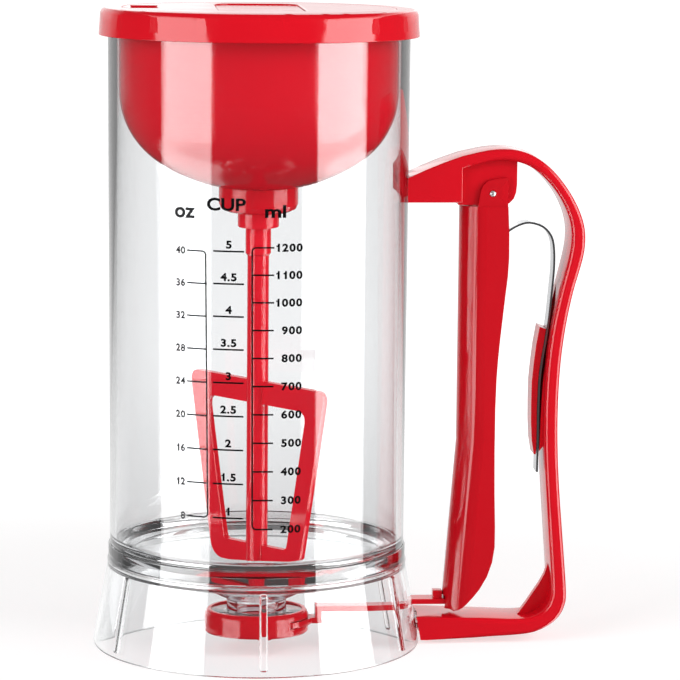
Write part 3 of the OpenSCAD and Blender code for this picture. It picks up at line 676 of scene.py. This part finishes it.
def coil(turns=3, per_turn=40, sides=10):
    """A contact spring: a wire wound in a cone behind the cell's flat end."""
    bm = bmesh.new()
    steps = turns * per_turn
    around = [2 * pi * j / sides for j in range(sides)]
    rings = []
    for k in range(steps + 1):
        a = 2 * pi * k / per_turn
        r, z = 2.6 + 1.2 * k / steps, -CELL_HALF - 0.95 - 1.32 * k / steps
        out = Vector((cos(a), sin(a), 0))
        rings.append([
            bm.verts.new(out * (r + WIRE_R * cos(b)) + Vector((0, 0, z + WIRE_R * sin(b))))
            for b in around
        ])
    for lower, upper in zip(rings, rings[1:]):
        for j in range(sides):
            bm.faces.new((lower[j], lower[j - 1], upper[j - 1], upper[j]))
    bm.faces.new(rings[0])
    bm.faces.new(rings[-1][::-1])
    bmesh.ops.recalc_face_normals(bm, faces=bm.faces)
    return bm


def cells():
    """The four cells with their bands and steel ends, and the springs behind them."""
    foot, top = -CELL_HALF - 0.5, CELL_HALF - 0.5
    sleeve = turned(
        (0, foot + 0.25), (5.9, foot + 0.25), (6.1, foot), (6.7, foot), (CELL_R, foot + 0.4),
        (CELL_R, top - 0.4), (6.7, top), (6.1, top), (5.9, top - 0.25), (0, top - 0.25),
    )
    band = turned((7, top - 14), (7.12, top - 14), (7.12, top - 0.6), (7, top - 0.6))
    nub = turned(
        (0, top - 0.3), (5.85, top - 0.3), (5.85, top - 0.12), (3.4, top - 0.1), (2.75, top + 0.3),
        (2.75, top + 1), (2.45, top + 1.27), (0, top + 1.27),
    )
    plate = turned(
        (0, foot + 0.3), (5.85, foot + 0.3), (5.85, foot + 0.12), (4.6, foot + 0.1),
        (4.3, foot + 0.02), (0, foot + 0.02),
    )
    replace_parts(in_each_bay("cell_sleeves", cell_sleeve, "cell_sleeve", sleeve), "batteries")
    in_each_bay("cell_bands", cell_band, "cell_sleeve", band)
    in_each_bay("cell_ends", screw_steel, "screw_steel", nub, plate)
    springs = in_each_bay("contact_coils", spring_steel, "spring_steel", coil)
    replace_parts(springs, "contact_springs")


def dress(node, material):
    """The CAD node as it is, with the finished material."""
    for slot in frame["nodes"][node].material_slots:
        slot.material = material


# ------------------------------------------------------------ the scales
INK = 0.04
HEAVY = 0.042
OUNCE = 29.57
CUP = 237
FIGURE_TALL = 0.7
FIGURE_WIDE = 0.44
LEVEL_200 = 55.2
ML_LINE = (-4.4, -4.9)
ML_ROOT = -4.6
ML_TICK = 3.3
ML_FIGURES = 14.1
CUP_MARK = (-19.4, -7.8)
CUP_FIGURES = -13.5
OZ_LINE = (-21.3, -22.3)
OZ_ROOT = -21.8
OZ_TICK = -29.8
OZ_FIGURES = -30.5


def on_tube(s, z):
    """A point of the flat artwork, arc and height, laid on the tube's front."""
    r = tube_out(z) + INK
    return r * sin(s / TUBE_R), -r * cos(s / TUBE_R), z


def stroke(bm, path, width):
    """A ribbon along the path of (arc, height) points."""
    spots = [Vector(p) for p in path]
    sides = []
    for i, here in enumerate(spots):
        way = (spots[min(i + 1, len(spots) - 1)] - spots[max(i - 1, 0)]).normalized()
        off = Vector((-way.y, way.x)) * width / 2
        sides.append([bm.verts.new(on_tube(*(here + k * off))) for k in (1, -1)])
    for (a, b), (c, d) in zip(sides, sides[1:]):
        bm.faces.new((a, b, d, c))


def straight(start, end, step=0.8):
    """Points along a straight line, close enough to bend with the tube."""
    start, end = Vector(start), Vector(end)
    count = max(2, int((end - start).length / step) + 1)
    return [start.lerp(end, k / (count - 1)) for k in range(count)]


def letter_mesh(text, heavy):
    """The text's outline as points and faces in font units; a lone 1 gets its flag."""
    if text == "1":
        grow = heavy + 0.05
        points = [
            (0.25 + grow, -heavy), (0.25 + grow, 0.69 + heavy), (0.28 - grow, 0.69 + heavy),
            (0.25 - grow, 0.6), (0.16, 0.55), (0.06, 0.53 + heavy), (0.06, 0.43 - heavy),
            (0.25 - grow, 0.49 - heavy), (0.25 - grow, -heavy),
        ]
        return points, [range(len(points))]
    curve = bpy.data.curves.new("letters", "FONT")
    curve.body = text
    curve.offset = heavy
    curve.resolution_u = 4
    thing = bpy.data.objects.new("letters", curve)
    bpy.context.scene.collection.objects.link(thing)
    seen = thing.evaluated_get(bpy.context.evaluated_depsgraph_get())
    mesh = bpy.data.meshes.new_from_object(seen)
    bpy.data.objects.remove(thing)
    return [tuple(v.co[:2]) for v in mesh.vertices], [f.vertices[:] for f in mesh.polygons]


def letters(bm, text, left, right, foot, height, heavy):
    """Text fitted between two arcs, its foot and height given."""
    points, faces = letter_mesh(text, heavy)
    xs, ys = zip(*points)
    wide = (right - left) / (max(xs) - min(xs))
    tall = height / (max(ys) - min(ys))
    spots = [bm.verts.new(on_tube(left + (x - min(xs)) * wide, foot + (y - min(ys)) * tall))
             for x, y in points]
    for face in faces:
        bm.faces.new([spots[i] for i in face])


def numerals(bm, text, right, foot, height, heavy, pitch, anchor=1.0):
    """Figures in even cells, a point in a narrow one, each set in the middle of its own."""
    widths = [0.42 * pitch if sign == "." else pitch for sign in text]
    left = right - anchor * sum(widths)
    tall = height / (FIGURE_TALL + 2 * heavy)
    wide = 0.88 * pitch / (FIGURE_WIDE + 2 * heavy)
    for sign, width in zip(text, widths):
        points, faces = letter_mesh(sign, heavy)
        xs = [x for x, _ in points]
        middle = (min(xs) + max(xs)) / 2
        spots = [
            bm.verts.new(
                on_tube(left + width / 2 + (x - middle) * wide, foot + (y + heavy) * tall)
            )
            for x, y in points
        ]
        for face in faces:
            bm.faces.new([spots[i] for i in face])
        left += width


def level_of(ml):
    """The height of a mark: the tube narrows downward, so the lower steps are wider."""
    k = (ml - 200) / 100
    return LEVEL_200 + 10.95 * k - 0.045 * k * k


def bracket_path(spine, tick, low, high, bend=1.6):
    """The scale's upright line, turned into its first and last tick by rounded corners."""
    way = 1 if tick > spine[0] else -1
    path = straight((tick, low), (spine[0] + way * bend, low))
    for z, turn in ((low, 1), (high, -1)):
        s = spine[0] if turn > 0 else spine[1]
        arc = [(s + way * bend * (1 - sin(a)), z + turn * bend * (1 - cos(a)))
               for a in [pi / 2 * k / 6 for k in range(1, 6)]]
        path += arc if turn > 0 else arc[::-1]
    return path + straight((spine[1] + way * bend, high), (tick, high))


def scales():
    """Three scales side by side; a line's two values are its arc at the foot and the top."""
    black, grey = bmesh.new(), bmesh.new()
    stroke(black, bracket_path(ML_LINE, ML_TICK, level_of(200), level_of(1200)), 0.6)
    for ml in range(200, 1300, 100):
        z = level_of(ml)
        if 200 < ml < 1200:
            stroke(black, straight((ML_ROOT, z), (ML_TICK, z)), 0.6)
        numerals(black, str(ml), ML_FIGURES, z - 1.5, 3.05, HEAVY, 2.68)
    for half_cups in range(2, 11):
        z = level_of(CUP * half_cups / 2)
        stroke(black, straight((CUP_MARK[0], z), (CUP_MARK[1], z)), 0.62)
        text = str(half_cups / 2).replace(".0", "")
        numerals(black, text, CUP_FIGURES, z + 1.0, 3.05, HEAVY, 2.68, anchor=0.5)
    stroke(grey, bracket_path(OZ_LINE, OZ_TICK, level_of(8 * OUNCE), level_of(40 * OUNCE)), 0.58)
    for ounces in range(8, 44, 4):
        z = level_of(OUNCE * ounces)
        if 8 < ounces < 40:
            stroke(grey, straight((OZ_TICK, z), (OZ_ROOT, z)), 0.58)
        numerals(grey, str(ounces), OZ_FIGURES, z - 1.4, 2.8, 0.032, 2.1)
    letters(black, "CUP", -21.9, -7.2, 173.5, 4.8, 0.03)
    letters(black, "ml", -0.2, 7.6, 171.2, 4.7, 0.03)
    letters(grey, "oz", -35.1, -26.6, 170.3, 4.0, 0.028)
    for bm, name, ink in ((black, "scale_print", ink_black), (grey, "ounce_print", ink_grey)):
        bmesh.ops.recalc_face_normals(bm, faces=bm.faces)
        settle(mesh_of(bm, name, ink), "pitcher", "black_plastic")


# ---------------------------------------------------------------- studio
CAMERA_AT = Vector((-55.231, -1216.287, 293.92)) * MM
CAMERA_AIM = Vector((0.07058594, 0.9872156, -0.14290904))
CAMERA_RIGHT = Vector((0.99750508, -0.07001787, 0.00900647))
CAMERA_LENS = 169.06
CORNER_BOW = (0.644, 0.356)
BELLY_BOW = (1.147, 0.075)
HEAD_ON = 0.04
AMBIENT = 0.28
ROOM_GLOW = 0.1
BACKDROP = 1.02
CEILING = 0.5
FLOOR_BOUNCE = 0.4
FLOOR_REACH = 9.0
# windows in the world: the low and the high side, the level and the softness of the sides
LEFT_CARD = (-0.626, -0.3035, 6.0, 0.004)
RIGHT_CARD = (0.4, 0.7145, 7.5, 0.004)
BACK = (0.66, 2.0, 1.0, 0.1)
BACK_IN_WALL = (0.25, 2.0, 1.15, 0.2)
BACK_HEIGHTS = (-0.3, 0.5, 1.0, 0.06)
SHEET_HEIGHTS = (0.05, 0.36, 0.4, 0.05)
ROOM_HEIGHTS = (-2.0, 0.5, 1.0, 0.15)
GROUND_HEIGHTS = (-2.0, 0.3, BACKDROP - CEILING, 0.15)


def camera():
    """The photo's camera, as fitted to the rims in it."""
    lens = bpy.data.cameras.new("camera")
    lens.lens = CAMERA_LENS
    lens.sensor_width = 36
    lens.clip_end = 50
    thing = bpy.data.objects.new("camera", lens)
    right = CAMERA_RIGHT.normalized()
    up = right.cross(CAMERA_AIM).normalized()
    turn = Matrix((right, up, -CAMERA_AIM.normalized())).transposed()
    thing.matrix_world = Matrix.Translation(CAMERA_AT) @ turn.to_4x4()
    bpy.context.scene.collection.objects.link(thing)
    bpy.context.scene.camera = thing


def softbox(name, azimuth, distance, width, height, middle, energy):
    """A tall lamp, its azimuth counted from the front towards +X, facing the tube's axis."""
    lamp = bpy.data.lights.new(name, "AREA")
    lamp.shape = "RECTANGLE"
    lamp.size = width
    lamp.size_y = height
    lamp.energy = energy
    thing = bpy.data.objects.new(name, lamp)
    a = radians(azimuth)
    spot = Vector((sin(a) * distance, -cos(a) * distance, middle))
    turn = (Vector((0, 0, 0.1)) - spot).to_track_quat("-Z", "Y")
    thing.matrix_world = Matrix.Translation(spot) @ turn.to_matrix().to_4x4()
    thing.visible_camera = False
    thing.visible_glossy = False
    thing.visible_transmission = False
    bpy.context.scene.collection.objects.link(thing)
    return thing


def keep_off(lamp, thing):
    """The lamp lights everything but the thing."""
    unlit = bpy.data.collections.new("unlit_by_" + lamp.name)
    unlit.objects.link(thing)
    unlit.collection_objects[0].light_linking.link_state = "EXCLUDE"
    lamp.light_linking.receiver_collection = unlit


def window(tree, value, low, high, level, soft):
    """A level where the value lies between low and high, with soft sides, and 0 elsewhere."""
    rise = add(
        tree, "ShaderNodeMapRange",
        {"Value": value, "From Min": low - soft, "From Max": low + soft, "To Max": level},
    ).outputs["Result"]
    fall = add(
        tree, "ShaderNodeMapRange",
        {"Value": value, "From Min": high - soft, "From Max": high + soft, "To Min": 1.0,
         "To Max": 0.0},
    ).outputs["Result"]
    return maths(tree, "MULTIPLY", rise, fall)


def mirror_facing(tree, way):
    """The way that a mirror faces which sends the camera's ray off that way."""
    between = add(tree, "ShaderNodeVectorMath", {0: way, 1: CAMERA_AIM}, operation="SUBTRACT")
    return add(
        tree, "ShaderNodeVectorMath", {0: between.outputs[0]}, operation="NORMALIZE"
    ).outputs[0]


def bowed_across(tree, way):
    """Where a mirrored ray's own mirror faces, from -1 at the left to 1 at the right.

    Cards bounded by it bow round under the object, so that they stand upright in a round
    side and in the bowl's belly alike."""
    facing = mirror_facing(tree, way)
    flat = [
        add(tree, "ShaderNodeVectorMath", {0: facing, 1: axis}, operation="DOT_PRODUCT")
        for axis in (CAMERA_RIGHT, Vector((CAMERA_AIM.x, CAMERA_AIM.y, 0)).normalized())
    ]
    sides = {"X": flat[0].outputs["Value"], "Y": flat[1].outputs["Value"]}
    level = add(tree, "ShaderNodeCombineXYZ", sides).outputs[0]
    upright = add(tree, "ShaderNodeVectorMath", {0: level}, operation="LENGTH").outputs["Value"]
    sine = maths(tree, "DIVIDE", sides["X"], upright)
    corner, belly = [maths(tree, "MULTIPLY_ADD", upright, *bow) for bow in (CORNER_BOW, BELLY_BOW)]
    return maths(tree, "MULTIPLY", sine, maths(tree, "MINIMUM", corner, belly))


def slant_dimming(tree, way):
    """Less glow where only a slanted, hence stronger, mirror could send the ray."""
    facing = mirror_facing(tree, way)
    slant = add(
        tree, "ShaderNodeVectorMath", {0: facing, 1: CAMERA_AIM}, operation="DOT_PRODUCT"
    )
    fifth = maths(tree, "POWER", maths(tree, "ADD", slant.outputs["Value"], 1.0), 5.0)
    mirrored = maths(tree, "MULTIPLY_ADD", fifth, 1 - HEAD_ON, HEAD_ON)
    return maths(tree, "DIVIDE", 1.05 * HEAD_ON, mirrored)


def mirrored_path(tree, bounces=1):
    """1 for a ray that has met so many mirrors, even if it then passed clear plastic."""
    depth = add(tree, "ShaderNodeLightPath").outputs["Glossy Depth"]
    return maths(tree, "GREATER_THAN", depth, bounces - 0.5)


def world():
    """White to the camera, a soft grey lamp to matt surfaces, and to mirrored rays a dark
    room with two tall white cards before the object and a bright sheet behind it."""
    sky = bpy.data.worlds.new("studio")
    bpy.context.scene.world = sky
    sky.use_nodes = True
    tree = sky.node_tree
    tree.nodes.clear()
    path = add(tree, "ShaderNodeLightPath").outputs
    way = add(tree, "ShaderNodeTexCoord").outputs["Generated"]
    axes = add(tree, "ShaderNodeSeparateXYZ", {0: way}).outputs
    across = bowed_across(tree, way)
    left = window(tree, across, *LEFT_CARD)
    right = window(tree, across, *RIGHT_CARD)
    once = maths(tree, "SUBTRACT", 1.0, mirrored_path(tree, 2))
    # light that passed one to three clear faces finds the bright back further round
    few_faces = maths(tree, "COMPARE", path["Transmission Depth"], 2.0, 1.5)
    in_wall = maths(tree, "MULTIPLY", few_faces, once)
    open_back, wall_back = [window(tree, axes["Y"], *back) for back in (BACK, BACK_IN_WALL)]
    back = chosen(tree, in_wall, open_back, wall_back)
    high_back = window(tree, axes["Z"], *BACK_HEIGHTS)
    back = maths(tree, "MULTIPLY", back, high_back)
    low_sky = window(tree, axes["Z"], *ROOM_HEIGHTS)
    sheet = window(tree, axes["Z"], *SHEET_HEIGHTS)
    behind = maths(tree, "MULTIPLY_ADD", back, sheet, back)
    both = maths(tree, "ADD", left, right)
    for factor in (slant_dimming(tree, way), once):
        both = maths(tree, "MULTIPLY", both, factor)
    lit = maths(tree, "ADD", both, behind)
    room = maths(tree, "MULTIPLY_ADD", lit, low_sky, ROOM_GLOW)
    ground = window(tree, axes["Z"], *GROUND_HEIGHTS)
    through = maths(tree, "ADD", ground, CEILING)
    seen = chosen(tree, mirrored_path(tree), through, room)
    lamp = chosen(tree, path["Is Diffuse Ray"], seen, AMBIENT)
    level = chosen(tree, path["Is Camera Ray"], lamp, 1.0)
    glow = add(tree, "ShaderNodeBackground", {"Strength": level})
    out = add(tree, "ShaderNodeOutputWorld")
    tree.links.new(glow.outputs[0], out.inputs["Surface"])


def floor():
    """A pale floor that shows white, takes the object's shadow, and ends far away."""
    bm = bmesh.new()
    bmesh.ops.create_circle(bm, cap_ends=True, segments=96, radius=FLOOR_REACH)
    material = bpy.data.materials.new("pale_floor")
    material.use_nodes = True
    tree = material.node_tree
    tree.nodes.clear()
    place = add(tree, "ShaderNodeTexCoord").outputs["Object"]
    far = add(tree, "ShaderNodeVectorMath", {0: place}, operation="LENGTH").outputs["Value"]
    path = add(tree, "ShaderNodeLightPath").outputs
    glow_level = add(
        tree, "ShaderNodeMapRange",
        {"Value": far, "From Min": 0.15, "From Max": 0.6, "To Min": 0.62, "To Max": BACKDROP},
        interpolation_type="SMOOTHSTEP",
    ).outputs["Result"]
    lit = maths(tree, "MULTIPLY_ADD", path["Is Diffuse Ray"], FLOOR_BOUNCE - 1, 1.0)
    strength = maths(tree, "MULTIPLY", glow_level, lit)
    glow = add(tree, "ShaderNodeEmission", {"Strength": strength})
    paint = add(tree, "ShaderNodeBsdfDiffuse", {"Color": (0.5, 0.5, 0.5, 1)})
    mix = add(tree, "ShaderNodeAddShader", {0: glow.outputs[0], 1: paint.outputs[0]})
    open_floor = add(tree, "ShaderNodeBsdfTransparent")
    whole = add(
        tree, "ShaderNodeMixShader",
        {0: mirrored_path(tree), 1: mix.outputs[0], 2: open_floor.outputs[0]},
    )
    out = add(tree, "ShaderNodeOutputMaterial")
    tree.links.new(whole.outputs[0], out.inputs["Surface"])
    thing = mesh_of(bm, "floor", material, 1.0)
    return thing


camera()
world()
ground = floor()
softbox("left_softbox", -54, 1.25, 1.0, 1.2, 0.6, 13.5)
softbox("right_softbox", 58, 1.25, 1.0, 1.2, 0.6, 17.5)
keep_off(softbox("rear_softbox", 180, 1.25, 1.4, 1.2, 0.6, 19.0), ground)

vessel()
base()
handle()
scales()
lever()
softened("lid_cap", "lid_ring", red_gloss, "lid", "red_gloss", 0.6)
softened("battery_cover", "battery_lid", red_gloss, "cover", "red_gloss", 0.7)
softened("power_button", "push_button", red_button, "button", "red_button", 0.5)
softened("valve_cap", "valve_body", red_gloss, "pitcher", "red_gloss", 0.3)
softened("gate_slider", "sliding_gate", red_gloss, "gate", "red_gloss", 0.25)
# the paddle and collar take the brighter copy of the red plastic, painted light
softened("paddle", "mixing_paddle", lit_red_plastic, "rotor", "red_gloss", 0.5)
softened("drive_coupling", "drive_collar", lit_red_plastic, "rotor", "red_gloss", 0.4)
softened("lever_pin", "hinge_pin", pin_steel, "pitcher", "pin_steel", 0.6)
cells()
REBUILT = {
    "vessel", "base", "handle", "lever", "lid_cap", "battery_cover", "power_button", "valve_cap",
    "gate_slider", "paddle", "drive_coupling", "lever_pin", "batteries", "contact_springs",
}
for node, thing in frame["nodes"].items():
    if node not in REBUILT:
        dress(node, CAD_FINISH[thing.material_slots[0].material.name.split(".")[0]])

bpy.context.scene.view_settings.view_transform = "Standard"
